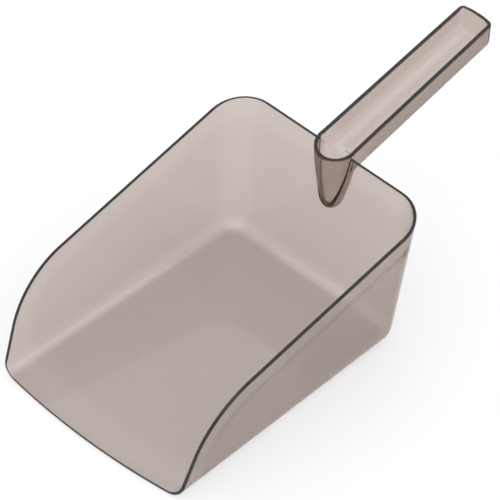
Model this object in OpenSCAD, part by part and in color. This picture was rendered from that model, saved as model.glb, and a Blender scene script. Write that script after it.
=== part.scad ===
// Hand scoop for grain and seed, one injection moulding in tinted clear plastic.
// The origin is the middle of the bowl's underside. +Y runs from the pouring lip
// to the handle, +X is to the right and +Z is up. The moulding has no loose
// pieces, so each module is one region of it, and regions meet face to face.

/* [Bowl] */
// Outside width across the back rim
rim_w = 165; // [150:1:180]
// Length from the pouring lip to the back rim
bowl_len = 218; // [205:1:235]
// Height of the back rim above the underside
bowl_h = 104.5; // [98:0.5:112]
// Outward lean of the side and back walls, degrees
draft = 5.3; // [5.2:0.1:5.4]
// Widening of the side walls toward the lip, degrees
flare = 0.9; // [0:0.1:1.2]
// Plan radius of the two back corners at the rim
corner_r = 26; // [25:1:34]
// Outside radius between the underside and the walls
base_r = 11; // [10.5:0.5:11.5]

/* [Mouth] */
// Fall of the rim toward the front, degrees
rim_slope = 12; // [9:0.1:13]
// Steepness of the mouth's edge where it nears the lip, degrees
mouth_angle = 72; // [66:1:76]
// Radius that joins the rim to the mouth's edge
mouth_r = 58; // [48:1:64]
// How far the lip bows out in the middle
lip_bow = 4; // [3:0.5:5]
// Plan radius of the lip's two corners
lip_r = 20; // [16:1:24]

/* [Walls] */
// Wall of the bowl
wall = 2.5; // [2.2:0.1:3]
// Wall of the thinned band along the rim and the lip
edge_wall = 2.2; // [1.9:0.1:2.3]
// Width of the thinned band along the rim
edge_band = 17; // [12:1:22]
// Width of the thinned band along the lip
lip_band = 24; // [16:1:30]

/* [Handle] */
// Length from the back rim to the end of the handle
handle_len = 131; // [115:1:150]
// Rise of the handle toward its end, degrees
handle_slope = 12.4; // [9:0.1:14]
// Height of the handle's rim over the underside, at the back rim
handle_z = 107.5; // [104:0.5:114]
// Outside width of the trough at its root
root_w = 28.8; // [26:0.1:31]
// Narrowing of each side of the trough toward its end, degrees
handle_taper = 0.5; // [0:0.1:0.8]
// Outside depth of the trough
trough_d = 21; // [18:1:24]
// Outside radius of the trough's bottom corners
trough_r = 9; // [7:1:11]
// Wall of the handle
handle_wall = 2.6; // [2.2:0.1:2.8]
// Plan radius of the bowed end wall
end_bow_r = 57; // [45:1:80]

/* [Root] */
// How far the pocket's upright axis stands behind the back rim
pocket_y = 1; // [0.5:0.5:2]
// Height of the pocket's tip over the underside
tip_z = 54; // [52:1:58]
// Radius of the pocket's blunt tip
tip_r = 5.6; // [4.4:0.2:5.8]

/* [Hidden] */
$fn = 96;
smoke = [0.62, 0.54, 0.51, 0.55];

back_y = bowl_len / 2;
lip_y = -bowl_len / 2;
axis_x = rim_w / 2 - corner_r;
axis_y = back_y - corner_r;
top_z = bowl_h + 40;
// depth that the tool for the thinned band reaches, past the wall
relief = wall + 2;
big = 400;
// outward distance from a corner's axis to the flat underside's edge
flat_u = corner_r - base_r * cos(draft)
         - tan(draft) * (bowl_h - base_r * (1 - sin(draft)));
handle_end_y = back_y + handle_len;
pocket_r = root_w / 2 + 0.5;
pocket_top = handle_z + 8;
// plan radius of the lip, from its bow over the flat underside's width
lip_bow_r = (axis_x + flat_u) * (axis_x + flat_u) / (2 * lip_bow);
// height at which the mouth's edge starts to run out into the lip
toe_z = 6;
// radius of the arc that shapes the pocket's side, upright at its top
pocket_h = pocket_top - tip_z;
ogive_r = (pocket_h * pocket_h + (pocket_r - tip_r) * (pocket_r - tip_r)) / (2 * (pocket_r - tip_r));

// everything inside the wall's surface, taken `off` inward; u runs outward from
// a corner's axis, so one section serves the sides, the back and the corners
module section(off) {
    r = base_r - off;
    u0 = flat_u + r * cos(draft);
    z0 = base_r - r * sin(draft);
    polygon([[0, off], [flat_u, off], [flat_u, base_r], [u0, z0],
             [u0 + tan(draft) * (top_z - z0), top_z], [0, top_z]]);
    translate([flat_u, base_r]) circle(r);
}

// the section between two depths in from the outer surface
module layer(outer, inner) {
    difference() {
        intersection() {
            section(outer);
            square([big, top_z]);
        }
        section(inner);
    }
}

// side view of what lies below the rim and behind the mouth's edge, as y and z;
// `band` and `lip` draw it back from that edge
module mouth_view(band, lip) {
    rim_z = bowl_h - band / cos(rim_slope);
    front_y = lip_y + lip_bow + band / sin(mouth_angle);
    // where the rim line and the mouth's edge would cross
    cy = (rim_z - tan(rim_slope) * back_y + tan(mouth_angle) * front_y)
         / (tan(mouth_angle) - tan(rim_slope));
    cz = tan(mouth_angle) * (cy - front_y);
    r = mouth_r - band;
    run = r * tan((mouth_angle - rim_slope) / 2);
    a = [cy + run * cos(rim_slope), cz + run * sin(rim_slope)];
    b = [cy - run * cos(mouth_angle), cz - run * sin(mouth_angle)];
    toe_y = lip_y + lip - 9;
    polygon([[back_y + 60, -60], [back_y + 60, rim_z + tan(rim_slope) * 60], a, b,
             [front_y + toe_z / tan(mouth_angle), toe_z], [toe_y, -1], [toe_y, -60]]);
    translate([a[0] + r * sin(rim_slope), a[1] - r * cos(rim_slope)]) circle(r);
}

// plan view of the same edge: a bowed lip with round corners
module lip_plan(lip) {
    bow = lip_bow_r - lip;
    intersection() {
        translate([0, lip_y + lip_bow_r]) circle(bow, $fn = 360);
        union() {
            translate([-rim_w, lip_y + lip + lip_r]) square([2 * rim_w, big]);
            translate([-lip_corner_x(), lip_y - 20]) square([2 * lip_corner_x(), big]);
            for (side = [-1, 1])
                translate([side * lip_corner_x(), lip_y + lip + lip_r]) circle(lip_r);
        }
    }
}
function lip_corner_x() = axis_x + flat_u + base_r + 5 - lip_r;

// the solid that the rim, the mouth's edge and the lip leave
module edge_cut(band = 0, lip = 0) {
    intersection() {
        rotate([90, 0, 90]) linear_extrude(2 * big, center = true) mouth_view(band, lip);
        translate([0, 0, -50]) linear_extrude(big) lip_plan(lip);
    }
}

module flared(side) {
    translate([side * axis_x, axis_y, 0]) rotate([0, 0, side * flare]) children();
}

// a straight stretch of wall section, from the corner's axis toward the front
module side_run(side, outer, inner) {
    flared(side)
        mirror([side < 0 ? 1 : 0, 0, 0])
            rotate([90, 0, 0]) linear_extrude(bowl_len) layer(outer, inner);
}

// the first child is a full wall; the second is what the thinned band takes off it
module banded() {
    difference() {
        intersection() {
            children(0);
            edge_cut();
        }
        difference() {
            children(1);
            edge_cut(edge_band, lip_band);
        }
    }
}

module side_wall(side) {
    color(smoke) banded() {
        side_run(side, 0, wall);
        side_run(side, edge_wall, relief);
    }
}
module side_wall_left() { side_wall(-1); }
module side_wall_right() { side_wall(1); }

// plan of the floor between the two side runs
module floor_plan() {
    front = bowl_len - corner_r + 2;
    spread = front * tan(flare);
    polygon([[-axis_x, axis_y], [axis_x, axis_y],
             [axis_x + spread, axis_y - front], [-axis_x - spread, axis_y - front]]);
}
module bowl_floor() {
    color(smoke) banded() {
        linear_extrude(wall) floor_plan();
        translate([0, 0, edge_wall]) linear_extrude(relief - edge_wall) floor_plan();
    }
}

// outer solid of the pocket that carries the handle into the bowl
module pocket_solid(off) {
    translate([0, back_y + pocket_y, 0]) rotate_extrude() pocket_profile(off);
}
module pocket_profile(off) {
    intersection() {
        translate([pocket_r - ogive_r, pocket_top]) circle(ogive_r - off, $fn = 720);
        translate([0, tip_z + off]) square([pocket_r, pocket_h - off]);
    }
}

// what lies below the handle's rim
module under_handle_rim() {
    translate([0, back_y, handle_z]) rotate([handle_slope, 0, 0])
        translate([-big, -big, -big]) cube([2 * big, 2 * big, big]);
}

module back_run(outer, inner) {
    translate([-axis_x, axis_y, 0]) rotate([0, 0, 90]) rotate([90, 0, 0])
        linear_extrude(2 * axis_x) layer(outer, inner);
}

module back_wall() {
    color(smoke) difference() {
        banded() {
            back_run(0, wall);
            back_run(edge_wall, relief);
        }
        pocket_solid(0);
    }
}

module corner_turn(side, outer, inner) {
    start = side > 0 ? flare : 90;
    translate([side * axis_x, axis_y, 0]) rotate([0, 0, start])
        rotate_extrude(angle = 90 - flare) layer(outer, inner);
}
module corner(side) {
    color(smoke) banded() {
        corner_turn(side, 0, wall);
        corner_turn(side, edge_wall, relief);
    }
}
module corner_left() { corner(-1); }
module corner_right() { corner(1); }

// half of the trough's section, `off` inward, with the handle's rim at height 0
module trough_section(off) {
    w = root_w / 2 - off;
    r = trough_r - off;
    difference() {
        union() {
            translate([0, r - trough_d + off]) square([w, trough_d + 20]);
            translate([0, -trough_d + off]) square([w - r, trough_d]);
            translate([w - r, r - trough_d + off]) circle(r);
        }
        translate([-big, -big / 2]) square([big, big]);
    }
}
module trough_half(off) {
    // starts at the pocket's axis plane and runs past the end wall
    rotate([0, 0, handle_taper]) rotate([handle_slope, 0, 0])
        translate([0, -30, 0]) rotate([90, 0, 180]) mirror([1, 0, 0])
            linear_extrude(handle_len + 80) trough_section(off);
}
module trough_solid(off) {
    translate([0, back_y, handle_z]) {
        trough_half(off);
        mirror([1, 0, 0]) trough_half(off);
    }
}
module behind_pocket() {
    translate([-big, back_y + pocket_y, -50]) cube([2 * big, big, big]);
}
// upright bowed face of the handle's end, `off` inward
module end_bow(off) {
    translate([0, handle_end_y - end_bow_r, 0]) cylinder(h = big, r = end_bow_r - off, $fn = 360);
}
module before_end(off) {
    union() {
        end_bow(off);
        translate([-big / 2, handle_end_y - end_bow_r - big, 0]) cube([big, big, big]);
    }
}

module handle_trough() {
    color(smoke) difference() {
        intersection() {
            trough_solid(0);
            under_handle_rim();
            behind_pocket();
            before_end(handle_wall);
        }
        trough_solid(handle_wall);
        pocket_solid(0);
    }
}

module handle_end() {
    color(smoke) difference() {
        intersection() {
            trough_solid(0);
            under_handle_rim();
            before_end(0);
        }
        before_end(handle_wall);
    }
}

module handle_root() {
    color(smoke) difference() {
        intersection() {
            pocket_solid(0);
            under_handle_rim();
        }
        pocket_solid(handle_wall);
        intersection() {
            trough_solid(handle_wall);
            behind_pocket();
        }
    }
}

bowl_floor();
side_wall_left();
side_wall_right();
back_wall();
corner_left();
corner_right();
handle_root();
handle_trough();
handle_end();
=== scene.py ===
import math

import bmesh
import bpy
import numpy as np
from mathutils import Matrix, Vector


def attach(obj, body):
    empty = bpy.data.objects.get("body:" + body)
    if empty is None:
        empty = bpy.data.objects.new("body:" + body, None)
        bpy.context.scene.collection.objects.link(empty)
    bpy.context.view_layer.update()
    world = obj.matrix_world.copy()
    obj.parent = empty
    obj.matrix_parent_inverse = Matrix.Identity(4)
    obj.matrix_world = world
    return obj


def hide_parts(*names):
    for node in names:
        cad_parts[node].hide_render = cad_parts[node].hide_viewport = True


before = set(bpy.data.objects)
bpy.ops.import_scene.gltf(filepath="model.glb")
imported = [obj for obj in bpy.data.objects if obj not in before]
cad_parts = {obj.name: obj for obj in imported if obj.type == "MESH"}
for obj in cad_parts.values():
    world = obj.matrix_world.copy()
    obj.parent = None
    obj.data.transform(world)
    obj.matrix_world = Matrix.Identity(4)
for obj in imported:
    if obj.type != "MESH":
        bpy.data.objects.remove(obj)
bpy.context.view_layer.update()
mm = 0.001

# the bowl, in millimetres and degrees
bowl = {
    "rimWidth": 165.0,
    "length": 218.0,
    "height": 104.5,
    "draft": 5.3,
    "flare": 0.9,
    "cornerRadius": 26.0,
    "baseRadius": 11.0,
    "rimSlope": 12.0,
    "mouthAngle": 72.0,
    "mouthRadius": 58.0,
    "lipBow": 4.0,
    "wall": 2.5,
    "edgeWall": 2.2,
    "rimBand": 17.0,
    "lipBand": 24.0,
    "bandStep": 16.0,
    "edgeRound": 0.95,
}

# the handle and the pocket that it grows out of
handle = {
    "length": 131.0,
    "slope": 12.4,
    "rimHeight": 107.5,
    "rootWidth": 28.8,
    "taper": 0.5,
    "depth": 21.0,
    "bottomRadius": 9.0,
    "wall": 2.6,
    "edgeWall": 2.6,
    "edgeWallDepth": 12.0,
    "endBow": 57.0,
    "endCorner": 3.0,
    "pocketBack": 1.0,
    "pocketRadius": 14.7,
    "tipHeight": 54.0,
    "tipRadius": 5.6,
    "rootBlend": 9.0,
    "edgeRound": 1.0,
    "dulled": 0.9,
    "cutAbove": 9.0,
}


def sinD(a):
    return math.sin(math.radians(a))


def cosD(a):
    return math.cos(math.radians(a))


def tanD(a):
    return math.tan(math.radians(a))


# values that follow from the sizes above
backY = bowl["length"] / 2
lipY = -backY
axisX = bowl["rimWidth"] / 2 - bowl["cornerRadius"]
axisY = backY - bowl["cornerRadius"]
flatReach = (bowl["cornerRadius"] - bowl["baseRadius"] * cosD(bowl["draft"])
             - tanD(bowl["draft"]) * (bowl["height"] - bowl["baseRadius"] * (1 - sinD(bowl["draft"]))))
lipRadius = (axisX + flatReach) ** 2 / (2 * bowl["lipBow"])


def wallSection(arc):
    # outward reach, height and normal of the outer skin, by length along its section
    arc = np.asarray(arc, float)
    r = bowl["baseRadius"]
    lean = math.radians(bowl["draft"])
    turn = np.clip((arc - flatReach) / r, 0, math.pi / 2 - lean)
    rest = np.maximum(arc - flatReach - r * (math.pi / 2 - lean), 0)
    reach = np.minimum(arc, flatReach) + r * np.sin(turn) + rest * math.sin(lean)
    height = r * (1 - np.cos(turn)) + rest * math.cos(lean)
    return reach, height, np.sin(turn), -np.cos(turn)


def mouthDepth(y, z):
    # how far a point of the side view lies inside the rim line, the mouth's arc and its steep edge
    s, m, r = bowl["rimSlope"], bowl["mouthAngle"], bowl["mouthRadius"]
    frontY = lipY + bowl["lipBow"]
    crossY = (bowl["height"] - tanD(s) * backY + tanD(m) * frontY) / (tanD(m) - tanD(s))
    crossZ = tanD(m) * (crossY - frontY)
    run = r * math.tan(math.radians(m - s) / 2)
    centreY = crossY + run * cosD(s) + r * sinD(s)
    centreZ = crossZ + run * sinD(s) - r * cosD(s)
    belowRim = (y - backY) * sinD(s) - (z - bowl["height"]) * cosD(s)
    behindMouth = (y - frontY) * sinD(m) - z * cosD(m)
    fromY, fromZ = y - centreY, z - centreZ
    onArc = ((fromY * cosD(s) + fromZ * sinD(s)) < 0) & ((fromY * cosD(m) + fromZ * sinD(m)) > 0)
    arcDepth = r - np.hypot(fromY, fromZ)
    # the steep edge lets go near the floor, where the lip takes over
    behindMouth = behindMouth + np.maximum(6 - z, 0) * 1.6
    return np.where(onArc & (arcDepth < r), arcDepth, np.minimum(belowRim, behindMouth))


def lipDepth(x, y):
    return lipRadius - np.hypot(x, y - lipY - lipRadius)


def edgeDepth(p):
    return np.minimum(mouthDepth(p[..., 1], p[..., 2]), lipDepth(p[..., 0], p[..., 1]))


def sidePoint(arc, along, side):
    # a point of the side run: arc up its section and `along` forward of the corner's axis
    reach, height, nu, nz = wallSection(arc)
    f = bowl["flare"]
    x = axisX + reach * cosD(f) + along * sinD(f)
    y = axisY + reach * sinD(f) - along * cosD(f)
    p = np.stack([side * x, y, height], -1)
    n = np.stack([side * nu * cosD(f), nu * sinD(f), nz], -1)
    return p, n


def turnPoint(arc, centreX, angle):
    reach, height, nu, nz = wallSection(arc)
    c, s = math.cos(angle), math.sin(angle)
    p = np.stack([centreX + reach * c, axisY + reach * s, height], -1)
    n = np.stack([nu * c, nu * s, nz], -1)
    return p, n


def edgeLength(pointAt, high=220.0):
    # length along a line of the skin at which it reaches the moulding's edge
    low = 1.0
    for _ in range(44):
        mid = (low + high) / 2
        if edgeDepth(pointAt(np.array([mid]))[0])[0] > 0:
            low = mid
        else:
            high = mid
    return (low + high) / 2


# rings of faces in from the edge, closest together where it is rounded
nearEdge = np.array([0, 0.04, 0.16, 0.36, 0.75, 1.6, 3.2, 5.4, 8.0,
                     10.8, 13.4, 15.2, 16.2, 16.7, 17.3, 17.8, 19.0])
roundedRings = 5
innerRings = 32


def ringLengths(total, bandScale):
    # from the floor's core out to the edge
    near = nearEdge.copy()
    first, last = nearEdge[roundedRings], nearEdge[-1]
    near[roundedRings:] *= 1 + (bandScale - 1) * (near[roundedRings:] - first) / (last - first)
    room = total - near[-1]
    far = np.linspace(0, room, innerRings + 1)[:-1]
    return np.concatenate([far, total - near[::-1]])


def bowlLines():
    # every line of the outer skin from the floor's core to the edge, once around the bowl
    coreAlong = 140.0
    lines = []
    frontBand = bowl["lipBand"] / bowl["rimBand"]

    def addLine(pointAt, scale, core):
        rings = ringLengths(edgeLength(pointAt), scale)
        p, n = pointAt(rings)
        lines.append((p, n, core))

    sideCount, backCount, turnCount, fanCount = 64, 52, 24, 70
    for i in range(sideCount + 1):
        along = coreAlong * (1 - i / sideCount)
        addLine(lambda a, s=along: sidePoint(a, s, 1), 1.0, (backCount, i))
    startAngle = math.radians(bowl["flare"])
    for i in range(1, turnCount):
        angle = startAngle + (math.pi / 2 - startAngle) * i / turnCount
        addLine(lambda a, t=angle: turnPoint(a, axisX, t), 1.0, (backCount, sideCount))
    for i in range(backCount + 1):
        x = axisX * (1 - 2 * i / backCount)
        addLine(lambda a, c=x: turnPoint(a, c, math.pi / 2), 1.0, (backCount - i, sideCount))
    for i in range(1, turnCount):
        angle = math.pi / 2 + (math.pi / 2 - startAngle) * i / turnCount
        addLine(lambda a, t=angle: turnPoint(a, -axisX, t), 1.0, (0, sideCount))
    for i in range(sideCount + 1):
        along = coreAlong * i / sideCount
        addLine(lambda a, s=along: sidePoint(a, s, -1), 1.0, (0, sideCount - i))

    # the fans spread from the core's front corners, evenly along the mouth's edge
    def fanPoint(a, side, turn):
        return sidePoint(a * math.cos(turn), coreAlong + a * math.sin(turn), side)

    turns = np.linspace(0, math.pi / 2, 361)
    lengths = [edgeLength(lambda a, t=t: fanPoint(a, 1, t)) for t in turns]
    ends = np.array([fanPoint(np.array([length]), 1, t)[0][0] for length, t in zip(lengths, turns)])
    steps = np.concatenate([[0], np.cumsum(np.linalg.norm(np.diff(ends, axis=0), axis=1))])
    fanTurns = np.interp(np.linspace(0, steps[-1], fanCount + 1), steps, turns)
    share = np.linspace(0, 1, fanCount + 1)
    bands = 1 + (frontBand - 1) * np.clip((share - 0.55) / 0.35, 0, 1) ** 2
    for i in range(1, fanCount):
        addLine(lambda a, t=fanTurns[i]: fanPoint(a, -1, t), bands[i], (0, 0))
    p, _ = sidePoint(np.array([0.0]), coreAlong, 1)
    coreHalf, coreY = p[0, 0], p[0, 1]
    for i in range(backCount + 1):
        x = coreHalf * (2 * i / backCount - 1)

        def lipPoint(a, x=x):
            a = np.asarray(a, float)
            q = np.stack([np.full_like(a, x), coreY - a, np.zeros_like(a)], -1)
            return q, np.broadcast_to([0.0, 0.0, -1.0], q.shape)

        addLine(lipPoint, frontBand, (i, 0))
    for i in range(fanCount - 1, 0, -1):
        addLine(lambda a, t=fanTurns[i]: fanPoint(a, 1, t), bands[i], (backCount, 0))

    core = np.zeros((backCount + 1, sideCount + 1, 3))
    for j in range(sideCount + 1):
        p, _ = sidePoint(np.array([0.0]), coreAlong * (1 - j / sideCount), 1)
        core[:, j, 0] = np.linspace(-p[0, 0], p[0, 0], backCount + 1)
        core[:, j, 1] = p[0, 1]
    return lines, core


def sheetObject(name, points, faces, outward, toEdge, bandStep):
    # a skin with the values that the wall tree reads, all in metres
    mesh = bpy.data.meshes.new(name)
    mesh.from_pydata((np.asarray(points) * mm).tolist(), [], faces)
    for key, kind, data, field in (("outward", "FLOAT_VECTOR", outward, "vector"),
                                   ("toEdge", "FLOAT", np.asarray(toEdge) * mm, "value"),
                                   ("bandStep", "FLOAT", np.asarray(bandStep) * mm, "value")):
        layer = mesh.attributes.new(key, kind, "POINT")
        layer.data.foreach_set(field, np.asarray(data, np.float32).ravel())
    mesh.update()
    obj = bpy.data.objects.new(name, mesh)
    bpy.context.scene.collection.objects.link(obj)
    return obj


def makeBowlSheet():
    lines, core = bowlLines()
    nx, ny = core.shape[0], core.shape[1]
    points = [tuple(core[i, j]) for i in range(nx) for j in range(ny)]
    normals = [(0.0, 0.0, -1.0)] * len(points)
    rings = len(lines[0][0])
    ids = []
    for p, n, (ci, cj) in lines:
        row = [ci * ny + cj]
        for k in range(1, rings):
            row.append(len(points))
            points.append(tuple(p[k]))
            normals.append(tuple(n[k]))
        ids.append(row)
    faces = [(i * ny + j, i * ny + j + 1, (i + 1) * ny + j + 1, (i + 1) * ny + j)
             for i in range(nx - 1) for j in range(ny - 1)]
    for a, b in zip(ids, ids[1:] + ids[:1]):
        for k in range(rings - 1):
            quad = [a[k], b[k], b[k + 1], a[k + 1]]
            faces.append(tuple(dict.fromkeys(quad)))
    p = np.array(points)
    depth = np.maximum(edgeDepth(p), 0)
    pastRimBand = mouthDepth(p[:, 1], p[:, 2]) - bowl["rimBand"]
    pastLipBand = lipDepth(p[:, 0], p[:, 1]) - bowl["lipBand"]
    step = np.minimum(pastRimBand, pastLipBand)
    return sheetObject("bowlSheet", p, faces, normals, depth, step)


def rimHeight(y):
    return handle["rimHeight"] + (y - backY) * tanD(handle["slope"])


pocketY = backY + handle["pocketBack"]


def pocketRadiusAt(z):
    # the pocket narrows downward along an arc and closes in a round tip
    tip, top = handle["tipHeight"], handle["rimHeight"] + 8
    big, small = handle["pocketRadius"], handle["tipRadius"]
    tall = top - tip
    arc = (tall ** 2 + (big - small) ** 2) / (2 * (big - small))
    r = big - arc + np.sqrt(np.maximum(arc ** 2 - (top - z) ** 2, 0))
    roundTop = tip + 8
    closing = np.sqrt(np.maximum(1 - np.clip((roundTop - z) / (roundTop - tip), 0, 1) ** 2, 0))
    return r * closing


def troughReach(angle, half, deep):
    # distance from the middle of the rim line to the trough's outside, by angle from straight down
    r = handle["bottomRadius"]
    s, c = np.sin(angle), np.cos(angle)
    wall = half / np.maximum(s, 1e-9)
    floor = deep / np.maximum(c, 1e-9)
    dot = (half - r) * s + (deep - r) * c
    corner = dot + np.sqrt(np.maximum(dot ** 2 - (half - r) ** 2 - (deep - r) ** 2 + r ** 2, 0))
    out = np.where(wall * c <= deep - r, wall, corner)
    return np.where(floor * s <= half - r, floor, out)


def pocketReach(angle, y):
    # the same distance to the pocket's outside, found by halving
    s, c = np.sin(angle), np.cos(angle)
    low, high = np.zeros_like(angle), np.full_like(angle, 70.0)
    top = rimHeight(y)
    for _ in range(40):
        mid = (low + high) / 2
        inside = (mid * s) ** 2 + (y - pocketY) ** 2 < pocketRadiusAt(top - mid * c) ** 2
        low, high = np.where(inside, mid, low), np.where(inside, high, mid)
    return low


handleRings = np.array([0, 0.04, 0.16, 0.36, 0.7, 1.5, 2.8])
handleSteps = 24


def spread(curve):
    # a half section, resampled from the rim to its lowest point
    length = np.concatenate([[0], np.cumsum(np.linalg.norm(np.diff(curve, axis=0), axis=1))])
    at = np.concatenate([handleRings, np.linspace(handleRings[-1], length[-1], handleSteps + 1)[1:]])
    return np.stack([np.interp(at, length, curve[:, k]) for k in range(3)], -1)


def troughLine(y):
    angle = np.linspace(math.pi / 2, 0, 500)
    half = handle["rootWidth"] / 2 - (y - backY) * tanD(handle["taper"])
    deep = handle["depth"] / cosD(handle["slope"])
    a, b = troughReach(angle, half, deep), pocketReach(angle, y)
    soft = handle["rootBlend"] * np.cos(angle) ** 2 * min(1, max(0, (y - pocketY) / 10)) + 1e-6
    mix = np.clip(0.5 + 0.5 * (a - b) / soft, 0, 1)
    reach = b + (a - b) * mix + soft * mix * (1 - mix)
    if y <= pocketY + 1e-6:
        reach = b
    height = rimHeight(y) - reach * np.cos(angle)
    return spread(np.stack([reach * np.sin(angle), np.full_like(angle, y), height], -1))


def noseLine(angle):
    # one upright line of the pocket's front, turned about its axis
    top = rimHeight(pocketY - handle["pocketRadius"] * math.sin(angle))
    for _ in range(8):
        top = rimHeight(pocketY - float(pocketRadiusAt(top)) * math.sin(angle))
    tip = handle["tipHeight"]
    upper = np.linspace(1, 0.2, 300)
    lower = 0.2 * np.cos(np.linspace(0, math.pi / 2, 200))[1:]
    z = tip + (top - tip) * np.concatenate([upper, lower])
    r = pocketRadiusAt(z)
    return spread(np.stack([r * math.cos(angle), pocketY - r * math.sin(angle), z], -1))


def makeHandleSheet():
    endY = backY + handle["length"]
    corner = handle["endCorner"]
    bowR = handle["endBow"]

    def bowBack(x):
        return bowR - np.sqrt(bowR ** 2 - x ** 2)

    edgeHalf = handle["rootWidth"] / 2 - handle["length"] * tanD(handle["taper"])
    lastY = endY - float(bowBack(edgeHalf)) - corner
    near = pocketY + np.linspace(0, 1, 31) ** 1.2 * 24
    stations = np.concatenate([near, np.linspace(near[-1], lastY, 42)[1:]])
    rows = [troughLine(y) for y in stations]
    # the end: the last section turns a small corner, then closes toward the middle of its rim
    base = troughLine(lastY)
    half, deep = base[0, 0], rimHeight(lastY) - base[-1, 2]
    ends = [(corner * (1 - math.cos(b)), corner * (1 - math.sin(b)), 1.0)
            for b in np.linspace(0, math.pi / 2, 7)[1:]]
    ends += [(corner, 0.0, s) for s in np.linspace(1, 0, 13)[1:]]
    for inset, short, scale in ends:
        x = base[:, 0] * (half - inset) / half * scale
        y = endY - bowBack(x) - short
        drop = (rimHeight(lastY) - base[:, 2]) * (deep - inset) / deep * scale
        rows.append(np.stack([x, y, rimHeight(y) - drop], -1))
    nose = [noseLine(t) for t in np.linspace(0, math.pi, 49)[1:-1]]
    mirrored = [r * np.array([-1, 1, 1]) for r in rows]
    loop = rows[::-1] + nose + mirrored
    bm = bmesh.new()
    grid = [[bm.verts.new(tuple(p)) for p in line] for line in loop]
    for a, b in zip(grid, grid[1:]):
        for k in range(len(a) - 1):
            bm.faces.new((a[k], a[k + 1], b[k + 1], b[k]))
    bmesh.ops.remove_doubles(bm, verts=bm.verts, dist=2e-4)
    bmesh.ops.dissolve_degenerate(bm, edges=bm.edges, dist=1e-4)
    bmesh.ops.recalc_face_normals(bm, faces=bm.faces)
    bm.normal_update()
    lowest = min(bm.verts, key=lambda v: v.co.z)
    if lowest.normal.z > 0:
        bmesh.ops.reverse_faces(bm, faces=bm.faces)
        bm.normal_update()
    bm.verts.index_update()
    points = np.array([v.co for v in bm.verts])
    normals = np.array([v.normal for v in bm.verts])
    faces = [tuple(v.index for v in f.verts) for f in bm.faces]
    bm.free()
    depth = np.maximum((rimHeight(points[:, 1]) - points[:, 2]) * cosD(handle["slope"]), 0)
    # the rim's walls stand square to the rim, so their thickness is measured along it
    level = np.clip(1 - depth / 4, 0, 1)
    normals[:, 2] *= 1 - level
    normals /= np.linalg.norm(normals, axis=1)[:, None]
    return sheetObject("handleSheet", points, faces, normals, depth,
                       np.minimum(depth - handle["edgeWallDepth"] / 2 - 1, points[:, 1] - pocketY - 16))


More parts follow.
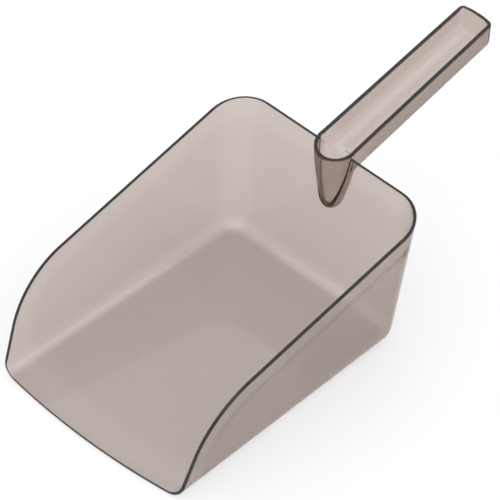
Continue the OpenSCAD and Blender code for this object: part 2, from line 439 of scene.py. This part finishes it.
def wallTree():
    # gives a skin its wall: thinner within the band, and rounded along its free edge
    tree = bpy.data.node_groups.new("mouldedWall", "GeometryNodeTree")
    face = tree.interface
    face.new_socket("Geometry", in_out="INPUT", socket_type="NodeSocketGeometry")
    for name, value in (("Wall", bowl["wall"]), ("Edge Wall", bowl["edgeWall"]),
                        ("Step Width", bowl["bandStep"]), ("Edge Rounding", bowl["edgeRound"])):
        s = face.new_socket(name, in_out="INPUT", socket_type="NodeSocketFloat")
        s.default_value = value * mm
    face.new_socket("Material", in_out="INPUT", socket_type="NodeSocketMaterial")
    face.new_socket("Geometry", in_out="OUTPUT", socket_type="NodeSocketGeometry")
    nodes, link = tree.nodes, tree.links.new
    start, end = nodes.new("NodeGroupInput"), nodes.new("NodeGroupOutput")

    def named(key, kind):
        n = nodes.new("GeometryNodeInputNamedAttribute")
        n.data_type = kind
        n.inputs["Name"].default_value = key
        return n.outputs["Attribute"]

    def calc(operation, a, b=None):
        n = nodes.new("ShaderNodeMath")
        n.operation = operation
        for socket, v in zip(n.inputs, (a, b)):
            if v is None:
                continue
            if isinstance(v, (int, float)):
                socket.default_value = v
            else:
                link(v, socket)
        return n.outputs[0]

    def scaled(vector, amount):
        n = nodes.new("ShaderNodeVectorMath")
        n.operation = "SCALE"
        link(vector, n.inputs[0])
        link(amount, n.inputs["Scale"])
        return n.outputs[0]

    outward = named("outward", "FLOAT_VECTOR")
    toEdge, bandStep = named("toEdge", "FLOAT"), named("bandStep", "FLOAT")
    ramp = nodes.new("ShaderNodeMapRange")
    ramp.interpolation_type = "SMOOTHSTEP"
    link(bandStep, ramp.inputs["Value"])
    link(calc("MULTIPLY", start.outputs["Step Width"], -0.5), ramp.inputs["From Min"])
    link(calc("MULTIPLY", start.outputs["Step Width"], 0.5), ramp.inputs["From Max"])
    link(start.outputs["Edge Wall"], ramp.inputs["To Min"])
    link(start.outputs["Wall"], ramp.inputs["To Max"])
    r = start.outputs["Edge Rounding"]
    inside = calc("MAXIMUM", calc("SUBTRACT", r, toEdge), 0.0)
    left = calc("SUBTRACT", calc("MULTIPLY", r, r), calc("MULTIPLY", inside, inside))
    rise = calc("SQRT", calc("MAXIMUM", left, 0.0))
    pull = calc("SUBTRACT", r, rise)
    through = calc("SUBTRACT", ramp.outputs["Result"], calc("MULTIPLY", pull, 2.0))

    outer = nodes.new("GeometryNodeSetPosition")
    link(start.outputs["Geometry"], outer.inputs["Geometry"])
    link(scaled(outward, calc("MULTIPLY", pull, -1.0)), outer.inputs["Offset"])
    push = nodes.new("GeometryNodeExtrudeMesh")
    push.mode = "FACES"
    push.inputs["Individual"].default_value = False
    push.inputs["Offset Scale"].default_value = 1.0
    link(outer.outputs["Geometry"], push.inputs["Mesh"])
    link(scaled(outward, calc("MULTIPLY", through, -1.0)), push.inputs["Offset"])
    flip = nodes.new("GeometryNodeFlipFaces")
    link(push.outputs["Mesh"], flip.inputs["Mesh"])
    join = nodes.new("GeometryNodeJoinGeometry")
    link(outer.outputs["Geometry"], join.inputs[0])
    link(flip.outputs["Mesh"], join.inputs[0])
    merge = nodes.new("GeometryNodeMergeByDistance")
    merge.inputs["Distance"].default_value = 1e-7
    link(join.outputs[0], merge.inputs["Geometry"])
    real = nodes.new("GeometryNodeRealizeInstances")
    link(merge.outputs["Geometry"], real.inputs["Geometry"])
    paint = nodes.new("GeometryNodeSetMaterial")
    link(real.outputs["Geometry"], paint.inputs["Geometry"])
    link(start.outputs["Material"], paint.inputs["Material"])
    link(paint.outputs["Geometry"], end.inputs["Geometry"])
    return tree


def giveWall(obj, tree, sizes, stepWidth, material):
    mod = obj.modifiers.new("wall", "NODES")
    mod.node_group = tree
    ids = {s.name: s.identifier for s in tree.interface.items_tree if s.in_out == "INPUT"}
    mod[ids["Wall"]] = sizes["wall"] * mm
    mod[ids["Edge Wall"]] = sizes["edgeWall"] * mm
    mod[ids["Step Width"]] = stepWidth * mm
    mod[ids["Edge Rounding"]] = sizes["edgeRound"] * mm
    mod[ids["Material"]] = material
    solid = bpy.data.meshes.new_from_object(obj.evaluated_get(bpy.context.evaluated_depsgraph_get()))
    obj.modifiers.remove(mod)
    shell = bpy.data.objects.new(obj.name.replace("Sheet", "Shell"), solid)
    bpy.context.scene.collection.objects.link(shell)
    return shell


def openingCutter(sheet):
    # the pocket's space, out to the middle of its wall and open upward, to cut the back wall with
    bm = bmesh.new()
    bm.from_mesh(sheet.data)
    normals = [Vector(v.vector) for v in sheet.data.attributes["outward"].data]
    for v, n in zip(bm.verts, normals):
        v.co -= n * handle["edgeWall"] * 0.5 * mm
    rim = [e for e in bm.edges if e.is_boundary]
    made = bmesh.ops.extrude_edge_only(bm, edges=rim)["geom"]
    raised = [g for g in made if isinstance(g, bmesh.types.BMVert)]
    for v in raised:
        v.co.z += handle["cutAbove"] * mm
    bmesh.ops.holes_fill(bm, edges=[e for e in bm.edges if e.is_boundary], sides=0)
    bmesh.ops.recalc_face_normals(bm, faces=bm.faces)
    mesh = bpy.data.meshes.new("openingCutter")
    bm.to_mesh(mesh)
    bm.free()
    obj = bpy.data.objects.new("openingCutter", mesh)
    bpy.context.scene.collection.objects.link(obj)
    return obj


def combined(obj, other, operation):
    mod = obj.modifiers.new("join", "BOOLEAN")
    mod.operation = operation
    mod.solver = "EXACT"
    mod.object = other
    mesh = bpy.data.meshes.new_from_object(obj.evaluated_get(bpy.context.evaluated_depsgraph_get()))
    obj.modifiers.remove(mod)
    obj.data = mesh
    bpy.data.objects.remove(other)
    return obj


def setSmooth(obj, limit):
    # smooth shading, with a crease only where two regions really meet at an angle
    bm = bmesh.new()
    bm.from_mesh(obj.data)
    bmesh.ops.remove_doubles(bm, verts=bm.verts, dist=1e-7)
    bmesh.ops.dissolve_degenerate(bm, edges=bm.edges, dist=1e-7)
    bmesh.ops.triangulate(bm, faces=[f for f in bm.faces if len(f.verts) > 4])
    for f in bm.faces:
        f.smooth = True
    for e in bm.edges:
        e.smooth = len(e.link_faces) == 2 and e.calc_face_angle(0) < math.radians(limit)
    openEdges = sum(1 for e in bm.edges if len(e.link_faces) != 2)
    bm.to_mesh(obj.data)
    bm.free()
    return openEdges


# smoke-tinted polycarbonate
smoke = {
    "ior": 1.58,
    "loss": (172.0, 222.0, 246.0),
    "density": 400.0,
    "polish": 0.035,
    "scuffed": 0.16,
    "ripple": 0.02,
    "rippleHeight": 0.0006,
    "rippleScale": 60.0,
    "scuffScale": (420.0, 34.0, 420.0),
    "cloudScale": 26.0,
    "milky": (0.93, 0.92, 0.91),
}


def makeSmokePlastic():
    mat = bpy.data.materials.new("smokePlastic")
    mat.use_nodes = True
    nodes, link = mat.node_tree.nodes, mat.node_tree.links.new
    nodes.clear()
    out = nodes.new("ShaderNodeOutputMaterial")
    body = nodes.new("ShaderNodeBsdfPrincipled")
    body.inputs["Transmission Weight"].default_value = 1.0
    body.inputs["IOR"].default_value = smoke["ior"]
    link(body.outputs["BSDF"], out.inputs["Surface"])
    tint = nodes.new("ShaderNodeVolumeAbsorption")
    tint.inputs["Density"].default_value = smoke["density"]
    tint.inputs["Color"].default_value = tuple(1 - s / smoke["density"] for s in smoke["loss"]) + (1.0,)
    link(tint.outputs["Volume"], out.inputs["Volume"])

    place = nodes.new("ShaderNodeTexCoord")
    # fine scuffs run along the bowl, where grain slides
    along = nodes.new("ShaderNodeMapping")
    along.inputs["Scale"].default_value = smoke["scuffScale"]
    link(place.outputs["Object"], along.inputs["Vector"])
    scuff = nodes.new("ShaderNodeTexNoise")
    scuff.inputs["Scale"].default_value = 1.0
    scuff.inputs["Detail"].default_value = 4.0
    link(along.outputs["Vector"], scuff.inputs["Vector"])
    cloud = nodes.new("ShaderNodeTexNoise")
    cloud.inputs["Scale"].default_value = smoke["cloudScale"]
    cloud.inputs["Detail"].default_value = 3.0
    link(place.outputs["Object"], cloud.inputs["Vector"])
    wear = nodes.new("ShaderNodeAttribute")
    wear.attribute_name = "edgeWear"
    streaks = nodes.new("ShaderNodeMapRange")
    link(scuff.outputs["Fac"], streaks.inputs["Value"])
    streaks.inputs["From Min"].default_value = 0.5
    streaks.inputs["From Max"].default_value = 0.8
    streaks.inputs["To Max"].default_value = 0.35
    patches = nodes.new("ShaderNodeMath")
    patches.operation = "MULTIPLY"
    link(streaks.outputs["Result"], patches.inputs[0])
    link(cloud.outputs["Fac"], patches.inputs[1])
    worn = nodes.new("ShaderNodeMath")
    worn.operation = "ADD"
    worn.use_clamp = True
    link(patches.outputs[0], worn.inputs[0])
    link(wear.outputs["Fac"], worn.inputs[1])
    gloss = nodes.new("ShaderNodeMapRange")
    link(worn.outputs[0], gloss.inputs["Value"])
    gloss.inputs["To Min"].default_value = smoke["polish"]
    gloss.inputs["To Max"].default_value = smoke["scuffed"]
    link(gloss.outputs["Result"], body.inputs["Roughness"])

    # faint flow waves of the moulding, and a slight milkiness where it is worn
    flow = nodes.new("ShaderNodeTexNoise")
    flow.inputs["Scale"].default_value = smoke["rippleScale"]
    flow.inputs["Detail"].default_value = 1.5
    link(place.outputs["Object"], flow.inputs["Vector"])
    wave = nodes.new("ShaderNodeBump")
    wave.inputs["Strength"].default_value = smoke["ripple"]
    wave.inputs["Distance"].default_value = smoke["rippleHeight"]
    link(flow.outputs["Fac"], wave.inputs["Height"])
    link(wave.outputs["Normal"], body.inputs["Normal"])
    haze = nodes.new("ShaderNodeMix")
    haze.data_type = "RGBA"
    haze.inputs["A"].default_value = (1.0, 1.0, 1.0, 1.0)
    haze.inputs["B"].default_value = smoke["milky"] + (1.0,)
    link(worn.outputs[0], haze.inputs["Factor"])
    link(haze.outputs["Result"], body.inputs["Base Color"])
    return mat


# how far the wear reaches in, in millimetres, and how strong it is
wearMarks = {
    "rim": 0.35,
    "rimReach": 1.2,
    "lipReach": 5.0,
    "lipRise": 8.0,
    "gripStart": 4.0,
    "gripFade": 16.0,
}


def markWear(obj):
    # how worn each point is: the lip most, the rest of the rim a little, and the grip dulled by hands
    co = np.zeros(len(obj.data.vertices) * 3)
    obj.data.vertices.foreach_get("co", co)
    p = co.reshape(-1, 3) / mm
    x, y, z = p[:, 0], p[:, 1], p[:, 2]
    rim = np.exp(-np.maximum(edgeDepth(p), 0) / wearMarks["rimReach"]) * wearMarks["rim"]
    lip = (np.exp(-np.maximum(lipDepth(x, y), 0) / wearMarks["lipReach"])
           * np.exp(-np.maximum(z - 3, 0) / wearMarks["lipRise"]))
    value = np.clip(np.maximum(rim, lip), 0, 1) * (y < backY + 3)
    value += handle["dulled"] * np.clip((y - backY - wearMarks["gripStart"]) / wearMarks["gripFade"], 0, 1)
    layer = obj.data.attributes.new("edgeWear", "FLOAT", "POINT")
    layer.data.foreach_set("value", value.astype(np.float32))


def setCamera():
    # the view looks down into the bowl from the right of the lip, tilted a little
    turn, rise, tilt = 40.4657, 44.0275, 3.9901
    distance, lens = 3003.578, 338.4685
    aim = np.array([-46.911, -19.983 + backY, -4.234])
    back = np.array([sinD(turn) * cosD(rise), -cosD(turn) * cosD(rise), sinD(rise)])
    side = np.array([cosD(turn), sinD(turn), 0.0])
    up = np.cross(back, side)
    right = cosD(tilt) * side + sinD(tilt) * up
    above = -sinD(tilt) * side + cosD(tilt) * up
    data = bpy.data.cameras.new("camera")
    data.lens = lens
    data.sensor_width = 36.0
    data.clip_end = 100.0
    obj = bpy.data.objects.new("camera", data)
    bpy.context.scene.collection.objects.link(obj)
    place = (aim + distance * back) * mm
    obj.matrix_world = Matrix([[right[i], above[i], back[i], place[i]] for i in range(3)] + [[0, 0, 0, 1]])
    bpy.context.scene.camera = obj


studio = {
    "sky": 1.0,
    "key": 8.0,
    "fill": 6.0,
    "lampSize": 2.0,
    "floorShade": 0.45,
    "floorGlow": 0.55,
    "floorReach": 30.0,
    "floorGap": 0.2,
}


def makeFloorPaint():
    # one plain pale finish, the same all over
    mat = bpy.data.materials.new("paleFloor")
    mat.use_nodes = True
    surface = mat.node_tree.nodes["Principled BSDF"]
    surface.inputs["Base Color"].default_value = (studio["floorShade"],) * 3 + (1.0,)
    surface.inputs["Roughness"].default_value = 0.9
    surface.inputs["Specular IOR Level"].default_value = 0.0
    surface.inputs["Emission Color"].default_value = (1.0, 1.0, 1.0, 1.0)
    surface.inputs["Emission Strength"].default_value = studio["floorGlow"]
    return mat


def makeStudio():
    scene = bpy.context.scene
    scene.view_settings.view_transform = "Standard"
    scene.cycles.max_bounces = 26
    scene.cycles.transmission_bounces = 24
    scene.cycles.use_denoising = True
    world = bpy.data.worlds.new("softRoom")
    world.use_nodes = True
    sky = world.node_tree.nodes["Background"]
    sky.inputs["Color"].default_value = (1.0, 1.0, 1.0, 1.0)
    sky.inputs["Strength"].default_value = studio["sky"]
    scene.world = world
    for name, place in (("key", (0.4, -1.2, 2.6)), ("fill", (1.6, 1.6, 2.2))):
        light = bpy.data.lights.new(name, "AREA")
        light.energy = studio[name]
        light.size = studio["lampSize"]
        obj = bpy.data.objects.new(name, light)
        obj.location = place
        obj.rotation_euler = (Vector((0, 0, 0)) - Vector(place)).to_track_quat("-Z", "Y").to_euler()
        scene.collection.objects.link(obj)
    mesh = bpy.data.meshes.new("floor")
    reach = studio["floorReach"]
    mesh.from_pydata([(-reach, -reach, 0), (reach, -reach, 0), (reach, reach, 0), (-reach, reach, 0)],
                     [], [(0, 1, 2, 3)])
    mesh.materials.append(makeFloorPaint())
    floor = bpy.data.objects.new("floor", mesh)
    floor.location.z = -studio["floorGap"] * mm
    scene.collection.objects.link(floor)


setCamera()
makeStudio()
print("camera and studio are set")

smokePlastic = makeSmokePlastic()
tree = wallTree()
bowlSheet, handleSheet = makeBowlSheet(), makeHandleSheet()
print("skins are drawn:", len(bowlSheet.data.polygons), "and", len(handleSheet.data.polygons), "faces")

cutter = openingCutter(handleSheet)
bowlShell = giveWall(bowlSheet, tree, bowl, bowl["bandStep"], smokePlastic)
handleShell = giveWall(handleSheet, tree, handle, handle["edgeWallDepth"], smokePlastic)
for old in (bowlSheet, handleSheet):
    bpy.data.objects.remove(old)
print("walls are given")

creaseAngle = 32  # degrees
moulding = combined(bowlShell, cutter, "DIFFERENCE")
moulding = combined(moulding, handleShell, "UNION")
moulding.name = moulding.data.name = "scoopMoulding"
openEdges = setSmooth(moulding, creaseAngle)
for key in ("outward", "toEdge", "bandStep"):
    if key in moulding.data.attributes:
        moulding.data.attributes.remove(moulding.data.attributes[key])
markWear(moulding)
moulding.data.materials.clear()
moulding.data.materials.append(smokePlastic)
for polygon in moulding.data.polygons:
    polygon.material_index = 0
print("bowl and handle are one moulding:", len(moulding.data.polygons), "faces,", openEdges, "open edges")

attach(moulding, "root")
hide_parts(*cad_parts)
